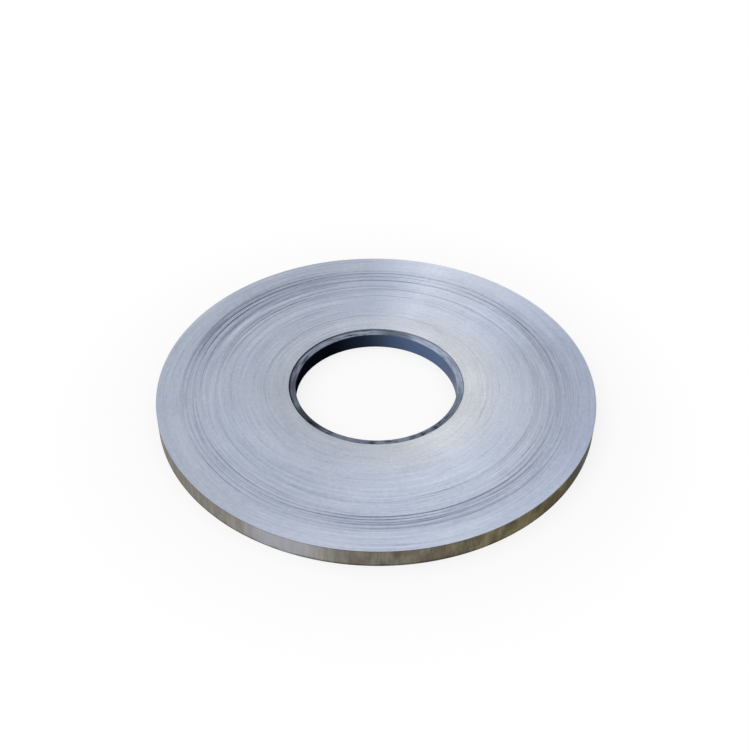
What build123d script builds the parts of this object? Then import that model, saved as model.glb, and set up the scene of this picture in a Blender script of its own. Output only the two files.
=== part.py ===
from build123d import *

import os

# Flat coil of thin rolled nickel strip, wound on a plastic core ring and lying on its side.
# The origin is the centre of the bore, in the plane that the coil rests on, and +Z runs up the bore.
# All sizes are in millimetres, and angles in degrees.

# The strip, and how often it goes round the core
strip_width = 12.0
strip_thickness = 0.2
turn_count = 410

# The core ring, a slice of plastic pipe, cut a little narrower than the strip
core_outer_diameter = 110.0
core_wall = 4.2
core_recess = 0.7
core_bore_chamfer = 1.8

# Play between the core ring and the first turn of strip
core_clearance = 0.1

# Runs of turns that slipped along the core during winding, so that they stand proud of the upper side
# and leave a groove in the underside: where each starts and ends, as a share of all turns, and its lift
slipped_runs = [
    (0.175, 0.187, 0.10),
    (0.450, 0.466, 0.15),
    (0.545, 0.562, 0.20),
    (0.670, 0.696, 0.30),
    (0.726, 0.748, 0.22),
    (0.775, 0.805, 0.30),
]

# The last turns, which end in the strip's cut end, and the direction that the end points to
last_turns = 12
tail_angle = 100.0

core_radius = core_outer_diameter / 2
core_height = strip_width - core_recess


def radius_of(turn):
    """Outer radius of the coil after so many turns."""
    return core_radius + core_clearance + turn * strip_thickness


coil_radius = radius_of(turn_count)


def runs_of_turns():
    """First turn, last turn and lift of each run, from the core out to where the last turns start."""
    runs = []
    reached = 0
    for start_share, end_share, lift in slipped_runs:
        first = round(start_share * turn_count)
        last = round(end_share * turn_count)
        runs.append((reached, first, 0.0))
        runs.append((first, last, lift))
        reached = last
    runs.append((reached, turn_count - last_turns, 0.0))
    return runs


# Nickel strip, wound up as one coil
with BuildPart() as strip_coil:
    # Each run of turns is one block of the half section, as high as the strip is wide
    with BuildSketch(Plane.XZ):
        for first, last, lift in runs_of_turns():
            run_width = radius_of(last) - radius_of(first)
            run_middle = (radius_of(last) + radius_of(first)) / 2
            with Locations((run_middle, lift + strip_width / 2)):
                Rectangle(run_width, strip_width)
    revolve(axis=Axis.Z)

    # The last turn lies concentric for half a turn before its cut end, and rises from under the end
    # over the other half, on an arc whose centre is half a thickness off the axis
    with BuildSketch(Plane.XY.rotated((0, 0, tail_angle))):
        with BuildLine():
            CenterArc((0, 0), coil_radius, 180, 180)
            Line((coil_radius, 0), (coil_radius - strip_thickness, 0))
            CenterArc((-strip_thickness / 2, 0), coil_radius - strip_thickness / 2, 0, 180)
        make_face()
        Circle(radius_of(turn_count - last_turns), mode=Mode.SUBTRACT)
    extrude(amount=strip_width)
strip_coil.part.label = "strip_coil"

# Core ring, with both edges of its bore chamfered
with BuildPart() as core_ring:
    with BuildSketch(Plane.XZ):
        with Locations((core_radius - core_wall / 2, core_height / 2)):
            Rectangle(core_wall, core_height)
        chamfer(vertices().group_by(Axis.X)[0], core_bore_chamfer)
    revolve(axis=Axis.Z)
core_ring.part.label = "core_ring"

os.makedirs("parts", exist_ok=True)
for piece in (strip_coil, core_ring):
    export_step(piece.part, f"parts/{piece.part.label}.step")
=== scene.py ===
import math
import random

import bpy
from mathutils import Matrix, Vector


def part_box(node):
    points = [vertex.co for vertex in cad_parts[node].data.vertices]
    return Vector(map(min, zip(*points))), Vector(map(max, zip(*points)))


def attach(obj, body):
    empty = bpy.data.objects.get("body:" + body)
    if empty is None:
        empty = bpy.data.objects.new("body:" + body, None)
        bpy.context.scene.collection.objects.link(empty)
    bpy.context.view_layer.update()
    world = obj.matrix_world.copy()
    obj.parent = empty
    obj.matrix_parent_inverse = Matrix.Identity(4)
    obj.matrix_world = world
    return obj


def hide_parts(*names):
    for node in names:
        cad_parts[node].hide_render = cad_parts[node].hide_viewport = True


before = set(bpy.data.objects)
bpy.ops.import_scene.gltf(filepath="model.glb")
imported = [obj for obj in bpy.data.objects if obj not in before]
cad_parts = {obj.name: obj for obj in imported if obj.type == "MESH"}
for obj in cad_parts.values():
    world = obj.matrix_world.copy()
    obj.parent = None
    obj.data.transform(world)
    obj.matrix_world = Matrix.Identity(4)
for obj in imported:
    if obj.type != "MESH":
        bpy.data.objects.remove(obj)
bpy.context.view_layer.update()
ringLow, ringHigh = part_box("core_ring")
coilLow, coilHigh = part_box("strip_coil")

mm = 0.001
mergeDistance = 0.001 * mm
smoothAngle = math.radians(35)  # edges sharper than this stay edges
fullTurn = 2 * math.pi
upAxis = (0, 0, 1)
centre = (0, 0, 0)


# Modelling helpers

def deselectAll():
    for item in bpy.context.selected_objects:
        item.select_set(False)


def selectOnly(piece):
    deselectAll()
    piece.select_set(True)
    bpy.context.view_layer.objects.active = piece


def mergeClose():
    bpy.ops.mesh.select_all(action="SELECT")
    bpy.ops.mesh.remove_doubles(threshold=mergeDistance)


def turnFacesOut():  # and leaves edit mode
    bpy.ops.mesh.select_all(action="SELECT")
    bpy.ops.mesh.normals_make_consistent(inside=False)
    bpy.ops.object.mode_set(mode="OBJECT")


# A plane at the section's first corner, merged to one vertex, and left in edit mode
def addPoint(name, x, z):
    deselectAll()
    bpy.ops.mesh.primitive_plane_add(size=mm, location=(x, 0, z))
    piece = bpy.context.object
    piece.name = name
    piece.data.name = name
    bpy.ops.object.transform_apply(location=True, rotation=True, scale=True)
    bpy.ops.object.mode_set(mode="EDIT")
    bpy.ops.mesh.select_all(action="SELECT")
    bpy.ops.mesh.merge(type="CENTER")
    return piece


# Half section in the XZ plane, drawn by extruding one vertex from corner to corner
def drawSection(name, corners):
    piece = addPoint(name, *corners[0])
    for here, following in zip(corners, corners[1:]):
        step = (following[0] - here[0], 0, following[1] - here[1])
        bpy.ops.mesh.extrude_region_move(TRANSFORM_OT_translate={"value": step})
    return piece


def spinSection(segments):  # turns the drawn section once round the bore, and closes the seam
    mergeClose()
    bpy.ops.mesh.select_all(action="SELECT")
    bpy.ops.mesh.spin(steps=segments, angle=fullTurn, center=centre, axis=upAxis)
    mergeClose()
    turnFacesOut()


def smoothPiece(piece):
    selectOnly(piece)
    bpy.ops.object.shade_smooth_by_angle(angle=smoothAngle)


# Material helpers

class Wire:  # one node output, so that a formula on outputs reads as a formula
    def __init__(self, finish, socket):
        self.finish = finish
        self.socket = socket

    def maths(self, operation, *values):
        return self.finish.node("ShaderNodeMath", {"operation": operation}, dict(enumerate(values)))

    def __add__(self, other):
        return self.maths("ADD", self, other)

    def __sub__(self, other):
        return self.maths("SUBTRACT", self, other)

    def __rsub__(self, other):
        return self.maths("SUBTRACT", other, self)

    def __mul__(self, other):
        return self.maths("MULTIPLY", self, other)

    def __truediv__(self, other):
        return self.maths("DIVIDE", self, other)

    __radd__ = __add__


def setStops(ramp, stops):  # grey levels along a ramp, as pairs of position and level
    while len(ramp.elements) < len(stops):
        ramp.elements.new(1.0)
    for element, (position, level) in zip(ramp.elements, stops):
        element.position = position
        element.color = (level, level, level, 1)


class Finish:  # a node tree while it is laid out
    def __init__(self, tree):
        self.tree = tree

    def node(self, kind, settings, inputs, output=0):
        made = self.tree.nodes.new(kind)
        for name, value in settings.items():
            if name == "stops":
                setStops(made.color_ramp, value)
            else:
                setattr(made, name, value)
        for name, value in inputs.items():
            self.plug(made.inputs[name], value)
        return Wire(self, made.outputs[output])

    def plug(self, socket, value):
        if isinstance(value, Wire):
            self.tree.links.new(value.socket, socket)
        else:
            socket.default_value = value

    def fit(self, value, low, high, toLow=0.0, toHigh=1.0):  # smooth change from toLow to toHigh
        inputs = {"Value": value, "From Min": low, "From Max": high,
                  "To Min": toLow, "To Max": toHigh}
        return self.node("ShaderNodeMapRange", {"interpolation_type": "SMOOTHSTEP"}, inputs)

    def mix(self, factor, first, second):
        return self.node("ShaderNodeMix", {"data_type": "RGBA"}, {0: factor, 6: first, 7: second}, 2)

    def scaled(self, colour, factor):  # colour times a number
        inputs = {0: colour, "Scale": factor}
        return self.node("ShaderNodeVectorMath", {"operation": "SCALE"}, inputs)

    def joined(self, x, y, z):
        return self.node("ShaderNodeCombineXYZ", {}, {0: x, 1: y, 2: z})

    # Distance from the bore's axis, cosine and sine of the direction, and height
    def measure(self):
        place = self.node("ShaderNodeTexCoord", {}, {}, "Object")
        x, y, self.height = [self.node("ShaderNodeSeparateXYZ", {}, {0: place}, axis)
                             for axis in range(3)]
        flat = self.joined(x, y, 0.0)
        self.radius = self.node("ShaderNodeVectorMath", {"operation": "LENGTH"}, {0: flat}, 1)
        self.cosine = x / self.radius
        self.sine = y / self.radius

    # 0 away from a direction, given in degrees, rising smoothly to 1 towards it, between two
    # values of the cosine of the angle off it
    def toward(self, direction, start, full=1.0):
        turned = math.radians(direction)
        cosineOff = self.cosine * math.cos(turned) + self.sine * math.sin(turned)
        return self.fit(cosineOff, start, full)

    def noise(self, vector, detail, roughness):
        inputs = {"Vector": vector, "Scale": 1.0, "Detail": detail, "Roughness": roughness}
        return self.node("ShaderNodeTexNoise", {}, inputs)

    # Noise with grains of a size along the radius or the height, and the shorter round the bore the
    # larger the factor around. The two differ only in the order of their axes, so that neither
    # repeats the other's pattern.
    def lines(self, along, size, around, detail, roughness=0.5):
        place = self.joined(along / size, self.cosine * around, self.sine * around)
        return self.noise(place, detail, roughness)

    def spots(self, along, size, around, detail, roughness=0.5):
        place = self.joined(self.cosine * around, self.sine * around, along / size)
        return self.noise(place, detail, roughness)


def newFinish(name):
    material = bpy.data.materials.new(name)
    material.use_nodes = True
    finish = Finish(material.node_tree)
    finish.material = material
    finish.shader = material.node_tree.nodes["Principled BSDF"]
    finish.measure()
    return finish


def setShader(finish, **values):
    for name, value in values.items():
        finish.plug(finish.shader.inputs[name.replace("_", " ")], value)


def addBump(finish, height, distance, strength):
    inputs = {"Height": height, "Distance": distance, "Strength": strength}
    finish.plug(finish.shader.inputs["Normal"], finish.node("ShaderNodeBump", {}, inputs))


# Coil of nickel strip

coil = {
    "segments": 180,
    "turns": 410,
    "thickness": 0.2 * mm,
    "width": 12.0 * mm,
    "bore": ringHigh.x + 0.1 * mm,
    "radius": min(coilHigh.x, -coilLow.x),
    # runs of turns that stand proud, as shares of all turns, with their lift
    "slippedRuns": [
        (0.175, 0.187, 0.10 * mm),
        (0.450, 0.466, 0.15 * mm),
        (0.545, 0.562, 0.20 * mm),
        (0.670, 0.696, 0.29 * mm),
        (0.726, 0.748, 0.22 * mm),
        (0.775, 0.805, 0.29 * mm),
    ],
    "runUnevenness": 0.03 * mm,  # how far a group of turns in a run may lie below the run's lift
    "step": 0.08 * mm,  # a run's end is upright where the height changes by more than this
    # stretches wound less evenly, with the spread of their turns' heights
    "uneven": [
        (0.00, 0.42, 0.012 * mm),
        (0.42, 0.63, 0.025 * mm),
        (0.63, 0.83, 0.045 * mm),
        (0.83, 1.00, 0.008 * mm),
    ],
    "tailAngle": 100,  # direction of the strip's cut end, in degrees
    "endEase": 0.03 * mm,  # how far the last turn's edges lie inside those of the other turns
    "faceDepth": 1.0 * mm,  # upright faces no further in than this are the rolled face

    # the upper and lower sides: painted shade along the winding, from the core out, where turns sit
    # at odd heights
    "paintedShadeBands": [
        (0.00, 0.00), (0.44, 0.00), (0.50, 0.22), (0.60, 0.20), (0.64, 0.25), (0.67, 0.90),
        (0.70, 1.00), (0.79, 1.00), (0.83, 0.40), (0.87, 0.00), (1.00, 0.00),
    ],
    # painted shade in thin lines between runs, lighter in some directions: share of the turns, half
    # width and darkness all round, and the directions in which a line is darker or lighter, each
    # with its spread and what is added there
    "paintedLineShade": [
        (0.180, 0.006, 0.02, [(150, 70, 0.03)]),
        (0.413, 0.008, 0.02, [(90, 40, 0.03)]),
        (0.485, 0.009, 0.01, [(125, 30, 0.10)]),
        (0.525, 0.010, 0.00, [(108, 32, 0.12)]),
        (0.541, 0.011, 0.05, [(310, 35, 0.24), (15, 40, 0.06)]),
        (0.584, 0.009, 0.03, [(120, 45, 0.16)]),
        (0.632, 0.007, 0.00, [(322, 30, 0.22), (118, 20, 0.10)]),
        (0.672, 0.008, 0.00, [(150, 22, -0.12), (78, 22, -0.10)]),
        (0.687, 0.010, 0.00, [(312, 36, 0.11), (250, 38, -0.09), (128, 30, 0.09), (30, 32, 0.10)]),
        (0.726, 0.011, 0.05, [(37, 29, 0.34), (158, 26, 0.26), (278, 45, 0.36), (215, 20, 0.06)]),
        (0.770, 0.011, 0.07, [(118, 38, 0.11), (275, 24, 0.15)]),
        (0.811, 0.010, 0.02, [(145, 50, 0.34), (215, 40, 0.07)]),
    ],
    # painted highlights and painted shade in wide patches, lighter, or darker where the last number
    # is
    # below nought: direction, cosine at which a patch starts, shares of the turns where it starts
    # and is full, and change
    "paintedLightAndShadePatches": [
        (332, 0.60, (0.76, 0.40), 0.12),
        (70, 0.90, (0.50, 0.00), 0.06),
        (164, 0.88, None, 0.05),
        (250, 0.95, (0.80, 0.90), 0.08),
        (86, 0.97, (0.10, 0.30), -0.06),
        (36, 0.95, (0.20, 0.40), 0.07),
        (58, 0.97, (0.05, 0.15), -0.07),
        (138, 0.50, (0.20, 0.10), 0.08),
        (283, 0.90, (0.50, 0.00), -0.08),
        (54, 0.85, (0.60, 0.45), -0.04),
        (212, 0.40, None, -0.07),
        (212, 0.40, (0.50, 0.00), -0.04),
    ],
    "blue": (0.480, 0.545, 0.680, 1),
    "greyBlue": (0.51, 0.55, 0.645, 1),
    # the blue painted into shade
    "shadeBlue": (0.475, 0.54, 0.71, 1),
    # a paler grey painted on the bright fan as a highlight
    "highlightGrey": (0.54, 0.57, 0.64, 1),
    # near the core: painted in shade on the left and painted lit on the right
    "shadedLeftOfCore": (0.50, 0.54, 0.615, 1),
    "litRightOfCore": (0.56, 0.58, 0.62, 1),

    # the rolled face, round the outside: a warm brown tone, darkened as a painted reflection of the
    # ground, and painted reflections that change with direction
    "darkBrown": (0.15, 0.13, 0.105, 1),
    "brown": (0.20, 0.185, 0.15, 1),
    "darkOliveReflection": (0.12, 0.099, 0.064, 1),
    "oliveReflection": (0.205, 0.18, 0.105, 1),
    "leftReflectionGrey": (0.30, 0.285, 0.265, 1),
    "backReflectionGrey": (0.225, 0.215, 0.20, 1),
    "rightReflectionBlack": (0.03, 0.03, 0.034, 1),
    "paleReflectionSpot": (0.385, 0.385, 0.425, 1),
    "mirrorTint": (0.5, 0.49, 0.46, 1),
}


def turnLift(share):  # how far a turn stands above the level on which the coil rests
    for first, last, lift in coil["slippedRuns"]:
        if first <= share < last:
            return lift - random.uniform(0, coil["runUnevenness"])
    for first, last, spread in coil["uneven"]:
        if first <= share < last:
            return random.uniform(0, 2 * spread)
    return 0.0


def coilSection():  # the turns in groups of one to three, each at its own height
    pitch = coil["thickness"]
    bodyTurns = coil["turns"] - 1
    groupEdges = [coil["bore"]]
    lifts = [0.0]
    turn = 0
    while turn < bodyTurns:
        turn = min(turn + random.choice((1, 2, 2, 3)), bodyTurns)
        groupEdges.append(coil["bore"] + turn * pitch)
        lifts.append(turnLift(turn / coil["turns"]))
    lifts[-1] = 0.0
    scale = (coil["radius"] - pitch) / groupEdges[-1]
    top = []
    for edge, lift in zip(groupEdges, lifts):
        place = edge * scale if edge > groupEdges[0] else edge
        height = coil["width"] + lift
        if top and abs(height - top[-1][1]) > coil["step"]:
            top.append((place, top[-1][1]))
        top.append((place, height))
    underside = [(place, height - coil["width"]) for place, height in reversed(top)]
    return top + underside + top[:1]


def makeCoilBody():
    piece = drawSection("nickelStripCoil", coilSection())
    spinSection(coil["segments"])
    return piece


# A vertical edge swept back half a turn about the bore, and on for half a turn about a point half
# a thickness off it, so that the turn's start lies under its cut end
def makeLastTurn():
    halfSteps = coil["segments"] // 2
    thickness = coil["thickness"]
    piece = addPoint("lastTurn", coil["radius"] - thickness, coil["endEase"])
    height = coil["width"] - 2 * coil["endEase"]
    bpy.ops.mesh.extrude_region_move(TRANSFORM_OT_translate={"value": (0, 0, height)})
    bpy.ops.mesh.select_all(action="SELECT")
    for middle in (centre, (-thickness / 2, 0, 0)):
        bpy.ops.mesh.spin(steps=halfSteps, angle=-math.pi, center=middle, axis=upAxis)
    mergeClose()
    bpy.ops.object.mode_set(mode="OBJECT")
    piece.data.transform(Matrix.Rotation(math.radians(coil["tailAngle"]), 4, "Z"))
    selectOnly(piece)
    shell = piece.modifiers.new("thickness", "SOLIDIFY")
    shell.thickness = thickness
    shell.offset = -1
    bpy.ops.object.modifier_apply(modifier=shell.name)
    bpy.ops.object.mode_set(mode="EDIT")
    turnFacesOut()
    return piece


def makeCoil():
    body = makeCoilBody()
    lastTurn = makeLastTurn()
    selectOnly(body)
    lastTurn.select_set(True)
    bpy.ops.object.join()
    smoothPiece(body)
    return body


# painted shade, and painted light where a direction adds below nought, in thin lines round the
# winding
def paintedLineShade(finish, share):
    total = 0.0
    for place, halfWidth, even, darker in coil["paintedLineShade"]:
        strength = even
        for direction, spread, added in darker:
            near = finish.toward(direction, math.cos(math.radians(spread)))
            strength = near * added + strength
        beside = share - place
        total = finish.fit(beside.maths("ABSOLUTE", beside), halfWidth, 0.0) * strength + total
    return total


def paintedLightAndShadePatches(finish, share):
    total = 0.0
    for direction, start, reach, change in coil["paintedLightAndShadePatches"]:
        strength = finish.toward(direction, start)
        if reach:
            strength = strength * finish.fit(share, *reach)
        total = strength * change + total
    return total


def slitEdgeFinish():
    finish = newFinish("slitEdges")
    radius = finish.radius
    # the winding isn't quite centred on the core, so a line drifts a little as it goes round
    drift = finish.spots(radius, 25 * mm, 1.3, 1.0)
    winding = coil["radius"] - coil["bore"]
    share = (radius - coil["bore"]) / winding + (drift - 0.5) * 0.03

    # turns, runs of turns and large patches, each a little lighter or darker than the next
    turns = finish.lines(radius, 0.4 * mm, 2.6, 3.0, 0.65)
    runs = finish.lines(radius, 1.5 * mm, 1.2, 3.0, 0.6)
    arcs = finish.lines(radius, 1.0 * mm, 3.4, 1.0)
    patches = finish.spots(radius, 22 * mm, 2.2, 3.0)
    grain = finish.spots(radius, 2.0 * mm, 40, 2.0)
    broken = finish.spots(radius, 2.5 * mm, 4, 2.0)
    # painted shade in bands along the winding
    bandShade = finish.node("ShaderNodeValToRGB", {"stops": coil["paintedShadeBands"]}, {"Fac": share})

    # painted shade: the uneven runs are painted darkest on the back left and on the front right
    outer = finish.fit(share, 0.682, 0.700)
    paintedShadeWeight = (0.12
              + finish.toward(136, 0.78) * 0.88
              + finish.toward(97, 0.93) * 0.14
              + finish.toward(293, 0.74, 0.95) * (outer * 0.50 + 0.14)
              + finish.toward(222, 0.85) * 0.18
              + finish.toward(19, 0.80) * (outer * 0.32 + 0.08))
    uneven = 0.7 + finish.fit(share, 0.46, 0.56) * 0.6 - finish.fit(share, 0.81, 0.86) * 0.7
    # painted shade in bands, thin lines and a patch towards the back left, on the turns' random tone
    shade = (1.0
             + (turns - 0.5) * uneven * 0.60
             + (runs - 0.5) * uneven * (0.12 + paintedShadeWeight * 1.1)
             + (patches - 0.5) * 0.20
             + (grain - 0.5) * 0.26
             - finish.fit(arcs, 0.58, 0.72) * 0.10
             - finish.toward(127, 0.5) * finish.fit(share, 0.45, 0.52) * 0.06
             - bandShade * paintedShadeWeight * 0.22
             - paintedLineShade(finish, share) * finish.fit(broken, 0.3, 0.65, 0.65, 1.35))
    # painted light: brightest near the core on the right, and painted a little duller on the left
    right = finish.toward(350, -0.4, 0.9)
    nearCore = finish.fit(share, 0.5, 0.0)
    shade = shade * (1.0
                     + right * finish.fit(share, 0.62, 0.0) * 0.21
                     - finish.toward(138, 0.9) * finish.fit(nearCore, 0.1, 0.3) * 0.06
                     + paintedLightAndShadePatches(finish, share))

    # painted shade tint: the darker the painted shade, the colder the blue, and colder towards the
    # right; warmest near the core
    shadeTint = (finish.fit(shade, 0.92, 0.62)
            + finish.toward(352, 0.45) * finish.fit(share, 0.6, 0.95) * 0.6)
    colour = finish.mix(patches, coil["blue"], coil["greyBlue"])
    colour = finish.mix(shadeTint, colour, coil["shadeBlue"])
    # painted highlight: a paler tint on the bright fan towards the back right
    colour = finish.mix(finish.toward(64, 0.93) * 0.4, colour, coil["highlightGrey"])
    # near the core, painted lit on the right and in shade on the left
    coreColourLitRight = finish.mix(right, coil["shadedLeftOfCore"], coil["litRightOfCore"])
    colour = finish.mix(finish.fit(share, 0.32 + right * 0.2, 0.0), colour, coreColourLitRight)
    setShader(finish, Base_Color=finish.scaled(colour, shade), Metallic=1.0,
              Roughness=0.27 + turns * 0.12 + finish.fit(share, 0.45, 0.0) * 0.12,
              Anisotropic=0.8, Anisotropic_Rotation=0.25)
    addBump(finish, turns * uneven, 0.05 * mm, 0.5)
    return finish.material


def rolledFaceFinish():
    finish = newFinish("rolledFace")
    height = finish.height
    streaks = finish.spots(height, 20 * mm, 55, 4.0, 0.7)
    blotches = finish.spots(height, 12 * mm, 16, 3.0)
    # painted reflections by direction: lighter grey on the left and the back, olive towards the
    # front right, near black on the right, and a pale spot at the front left
    left = finish.toward(216, 0.61, 0.78)
    reflectedSpot = finish.toward(247.5, 0.982, 0.998)
    front = finish.toward(330, 0.5, 0.97)
    side = finish.toward(345, 0.90, 0.985)
    back = finish.toward(90, 0.1, 0.5)
    tint = finish.fit(blotches, 0.38, 0.62)
    brown = finish.mix(tint, coil["darkBrown"], coil["brown"])
    oliveReflection = finish.mix(tint, coil["darkOliveReflection"], coil["oliveReflection"])
    colour = finish.mix(front, brown, oliveReflection)
    colour = finish.mix(left, colour, coil["leftReflectionGrey"])
    colour = finish.mix(back * 0.75, colour, coil["backReflectionGrey"])
    colour = finish.mix(side * 0.9, colour, coil["rightReflectionBlack"])
    colour = finish.mix(reflectedSpot, colour, coil["paleReflectionSpot"])
    # darker along both edges: painted shade along the foot, darkest on the right, and a thin dark
    # line under the top edge, fainter at the front right
    width = coil["width"]
    lower = finish.fit(height + (blotches - 0.5) * (2.5 * mm), 1.8 * mm, 0.5 * mm)
    upper = finish.fit(height, width - 0.9 * mm, width - 0.2 * mm)
    edges = lower * (0.8 + side) + upper * (1 - front) * 0.5
    contrast = 0.36 - reflectedSpot * 0.2
    shade = (1.0 + (finish.fit(streaks, 0.32, 0.68) - 0.5) * contrast) * (1.0 - edges * 0.6)
    setShader(finish, Base_Color=finish.scaled(colour, shade), Metallic=1.0,
              Roughness=0.26 + blotches * 0.2, Specular_Tint=coil["mirrorTint"])
    addBump(finish, streaks, 0.02 * mm, 0.3)
    return finish.material


def finishCoil(piece):
    piece.data.materials.append(slitEdgeFinish())
    piece.data.materials.append(rolledFaceFinish())
    outside = coil["radius"] - coil["faceDepth"]
    for face in piece.data.polygons:
        upright = abs(face.normal.z) < 0.5
        face.material_index = 1 if upright and face.center.xy.length > outside else 0


# Core ring

coreRing = {
    "segments": 192,
    "radius": min(ringHigh.x, -ringLow.y),
    "wall": 4.2 * mm,
    "height": ringHigh.z,
    "boreRounding": 0.35 * mm,
    "rimRounding": 0.35 * mm,
    "footRounding": 0.2 * mm,
    # lit and shaded copies of the plastic and of its scuffs, for painted light and shade
    "shadedPlastic": (0.003, 0.004, 0.008, 1),
    "litPlastic": (0.075, 0.125, 0.245, 1),
    "shadedScuffs": (0.15, 0.17, 0.225, 1),
    "litScuffs": (0.42, 0.47, 0.58, 1),
    # patches of the rim that are paler, or darker where the last number is below nought:
    # direction, cosines at which a patch starts and is full, and change
    "rimPatches": [
        (77, 0.965, 1.0, -0.55),
        (132, 0.6, 0.95, 0.8),
        (180, 0.975, 1.0, -0.35),
        (219, 0.955, 0.99, -0.65),
        (283, 0.7, 0.93, 0.35),
        (341, 0.96, 0.995, -0.35),
    ],
}


def roundCorners(corners, amount):  # bevels the named corners of the section
    bpy.ops.mesh.select_all(action="DESELECT")
    bpy.ops.object.mode_set(mode="OBJECT")
    for point in bpy.context.object.data.vertices:
        away = [math.hypot(point.co.x - x, point.co.z - z) for x, z in corners]
        point.select = min(away) < 0.01 * mm
    bpy.ops.object.mode_set(mode="EDIT")
    bpy.ops.mesh.bevel(affect="VERTICES", offset=amount, segments=4, profile=0.5)


def makeCoreRing():
    outer = coreRing["radius"]
    bore = outer - coreRing["wall"]
    top = coreRing["height"]
    piece = drawSection("coreRing", [(bore, 0), (bore, top), (outer, top), (outer, 0), (bore, 0)])
    mergeClose()
    bpy.ops.mesh.select_mode(type="VERT")
    roundCorners([(bore, top)], coreRing["boreRounding"])
    roundCorners([(bore, 0)], coreRing["footRounding"])
    roundCorners([(outer, top), (outer, 0)], coreRing["rimRounding"])
    spinSection(coreRing["segments"])
    smoothPiece(piece)
    return piece


def corePlasticFinish():
    finish = newFinish("corePlastic")
    radius = finish.radius
    height = finish.height
    top = coreRing["height"]
    outer = coreRing["radius"]
    bore = outer - coreRing["wall"]
    # the sawn rim, down into its rounding, is scuffed to a paler grey in streaks that run round it
    left = finish.toward(182, 0.9)
    rim = (finish.fit(height, top - 1.3 * mm - left * (1.4 * mm), top - 0.7 * mm)
           + finish.fit(height, 0.2 * mm, 0.05 * mm))
    streaks = finish.lines(radius, 0.8 * mm, 5, 4.0, 0.6)
    patches = finish.spots(height, 6 * mm, 5, 3.0)
    front = finish.toward(285, 0.3, 0.8)
    scuff = rim * finish.fit(streaks + (patches - 0.5) * (0.35 + front * 0.9), 0.22, 0.62)
    # its outer edge lies in the shadow of the strip on the back left
    outline = finish.fit(radius, outer - 1.3 * mm, outer - 0.4 * mm) * finish.toward(145, 0.1, 0.8)
    # and its inner edge is painted in shade at the front, where its rounding faces away
    innerEdgeShade = finish.fit(radius, bore + 0.8 * mm, bore + 0.1 * mm) * front
    scuff = scuff * (1.0 - outline * 0.85) * (1.0 - innerEdgeShade * 0.45)
    # painted light and shade: towards the back right the bore is painted lit and bluer, with a
    # glossier coat, and elsewhere painted in shade near black
    sunny = finish.toward(30, 0.3, 0.98) * 0.85 + finish.toward(30, -0.1, 0.5) * 0.15
    sunny = sunny * (1.0 - finish.toward(5, 0.85) * 0.2)
    wall = finish.mix(sunny, coreRing["shadedPlastic"], coreRing["litPlastic"])
    scuffsLitAndShaded = finish.mix(sunny, coreRing["shadedScuffs"], coreRing["litScuffs"])
    uneven = 1.0
    for direction, start, full, change in coreRing["rimPatches"]:
        uneven = finish.toward(direction, start, full) * change + uneven
    colour = finish.mix(scuff, wall, finish.scaled(scuffsLitAndShaded, uneven))
    setShader(finish, Base_Color=colour, Roughness=0.35 + scuff * 0.3, Specular_IOR_Level=0.0,
              Coat_Weight=sunny * (1.0 - scuff) * 0.4, Coat_Roughness=0.15)
    addBump(finish, streaks * rim, 0.08 * mm, 0.5)
    return finish.material


# Room

room = {
    "floorSize": 6,
    "floorGrey": (0.93, 0.93, 0.93, 1),
    "white": (1, 1, 1, 1),
    # the floor is this near to white out to the first radius, and all white beyond the second
    "nearWhite": 0.8,
    "nearRadius": 0.15,
    "whiteRadius": 0.22,
    # the sky's brightness away from its bright side, and towards it
    "brightSide": (-0.8, -0.35, 0.45),
    "dimSky": 0.52,
    "brightSky": 1.02,
    # place, width and height in metres, and power in watts
    "lamps": [
        ("frontLeft", (-1.1, -0.8, 1.2), 1.3, 1.3, 2.6),
        ("overhead", (0.30, 0.60, 1.42), 0.9, 0.6, 0.75),
        ("back", (0.16, 1.39, 0.78), 0.28, 0.45, 0.6),
    ],
}

camera = {
    "place": (0, -524.0 * mm, 469.6 * mm),
    "lens": 53.11,
    "sensor": 36,
    "pitchDown": 0.7105,
    "yaw": 0.0017,
    "roll": 0.0093,
}


def makeFloor():
    deselectAll()
    bpy.ops.mesh.primitive_plane_add(size=room["floorSize"], location=centre)
    floor = bpy.context.object
    floor.name = "floor"
    material = bpy.data.materials.new("paleFloor")
    material.use_nodes = True
    tree = material.node_tree
    tree.nodes.clear()
    finish = Finish(tree)
    finish.measure()
    paper = finish.node("ShaderNodeBsdfDiffuse", {}, {"Color": room["floorGrey"]})
    white = finish.node("ShaderNodeEmission", {}, {"Color": room["white"], "Strength": 1.0})
    seen, mirrored, through = [finish.node("ShaderNodeLightPath", {}, {}, ray)
                               for ray in ("Is Camera Ray", "Is Glossy Ray", "Is Transmission Ray")]
    # mostly white where the object's soft shadow lies, and all white further out
    whiteness = finish.fit(finish.radius, room["nearRadius"], room["whiteRadius"],
                           room["nearWhite"], 1.0)
    shown = (seen + mirrored + through) * whiteness
    both = finish.node("ShaderNodeMixShader", {}, {0: shown, 1: paper, 2: white})
    finish.plug(tree.nodes.new("ShaderNodeOutputMaterial").inputs["Surface"], both)
    floor.data.materials.append(material)


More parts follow.
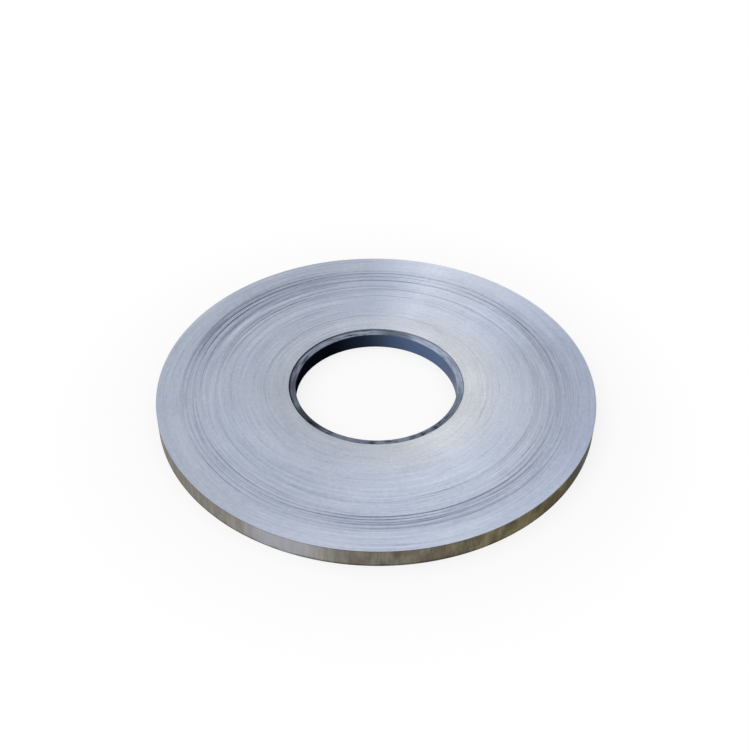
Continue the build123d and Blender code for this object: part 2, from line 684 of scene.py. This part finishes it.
def makeWorld():
    world = bpy.data.worlds.new("studio")
    bpy.context.scene.world = world
    world.use_nodes = True
    tree = world.node_tree
    tree.nodes.clear()
    finish = Finish(tree)
    direction = finish.node("ShaderNodeTexCoord", {}, {}, "Generated")
    side = finish.node("ShaderNodeVectorMath", {"operation": "DOT_PRODUCT"},
                       {0: direction, 1: room["brightSide"]}, 1)
    level = finish.fit(side, -0.9, 0.9, room["dimSky"], room["brightSky"])
    seen = finish.node("ShaderNodeLightPath", {}, {}, "Is Camera Ray")
    through = finish.node("ShaderNodeLightPath", {}, {}, "Is Transmission Ray")
    shown = seen + through
    inputs = {"Color": room["white"], "Strength": level * (1 - shown) + shown}
    background = finish.node("ShaderNodeBackground", {}, inputs)
    finish.plug(tree.nodes.new("ShaderNodeOutputWorld").inputs["Surface"], background)


def addLamp(name, place, width, height, power):
    data = bpy.data.lights.new(name, "AREA")
    data.shape = "RECTANGLE"
    data.size = width
    data.size_y = height
    data.energy = power
    lamp = bpy.data.objects.new(name, data)
    lamp.location = place
    bpy.context.collection.objects.link(lamp)
    aim = -lamp.location
    lamp.rotation_euler = aim.to_track_quat("-Z", "Y").to_euler()


def makeCamera():
    data = bpy.data.cameras.new("camera")
    data.lens = camera["lens"]
    data.sensor_width = camera["sensor"]
    data.clip_start = 0.01
    item = bpy.data.objects.new("camera", data)
    turned = (Matrix.Rotation(camera["yaw"], 4, "Z")
              @ Matrix.Rotation(math.pi / 2 - camera["pitchDown"], 4, "X")
              @ Matrix.Rotation(camera["roll"], 4, "Z"))
    item.matrix_world = Matrix.Translation(camera["place"]) @ turned
    bpy.context.collection.objects.link(item)
    bpy.context.scene.camera = item


makeCamera()
makeWorld()
makeFloor()
for lampSettings in room["lamps"]:
    addLamp(*lampSettings)
bpy.context.scene.view_settings.view_transform = "Standard"
print("room ready")

random.seed(7)
coilPiece = makeCoil()
finishCoil(coilPiece)
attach(coilPiece, "root")
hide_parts("strip_coil")
print("coil ready", len(coilPiece.data.polygons))

ring = makeCoreRing()
ring.data.materials.append(corePlasticFinish())
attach(ring, "root")
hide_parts("core_ring")
print("core ring ready", len(ring.data.polygons))
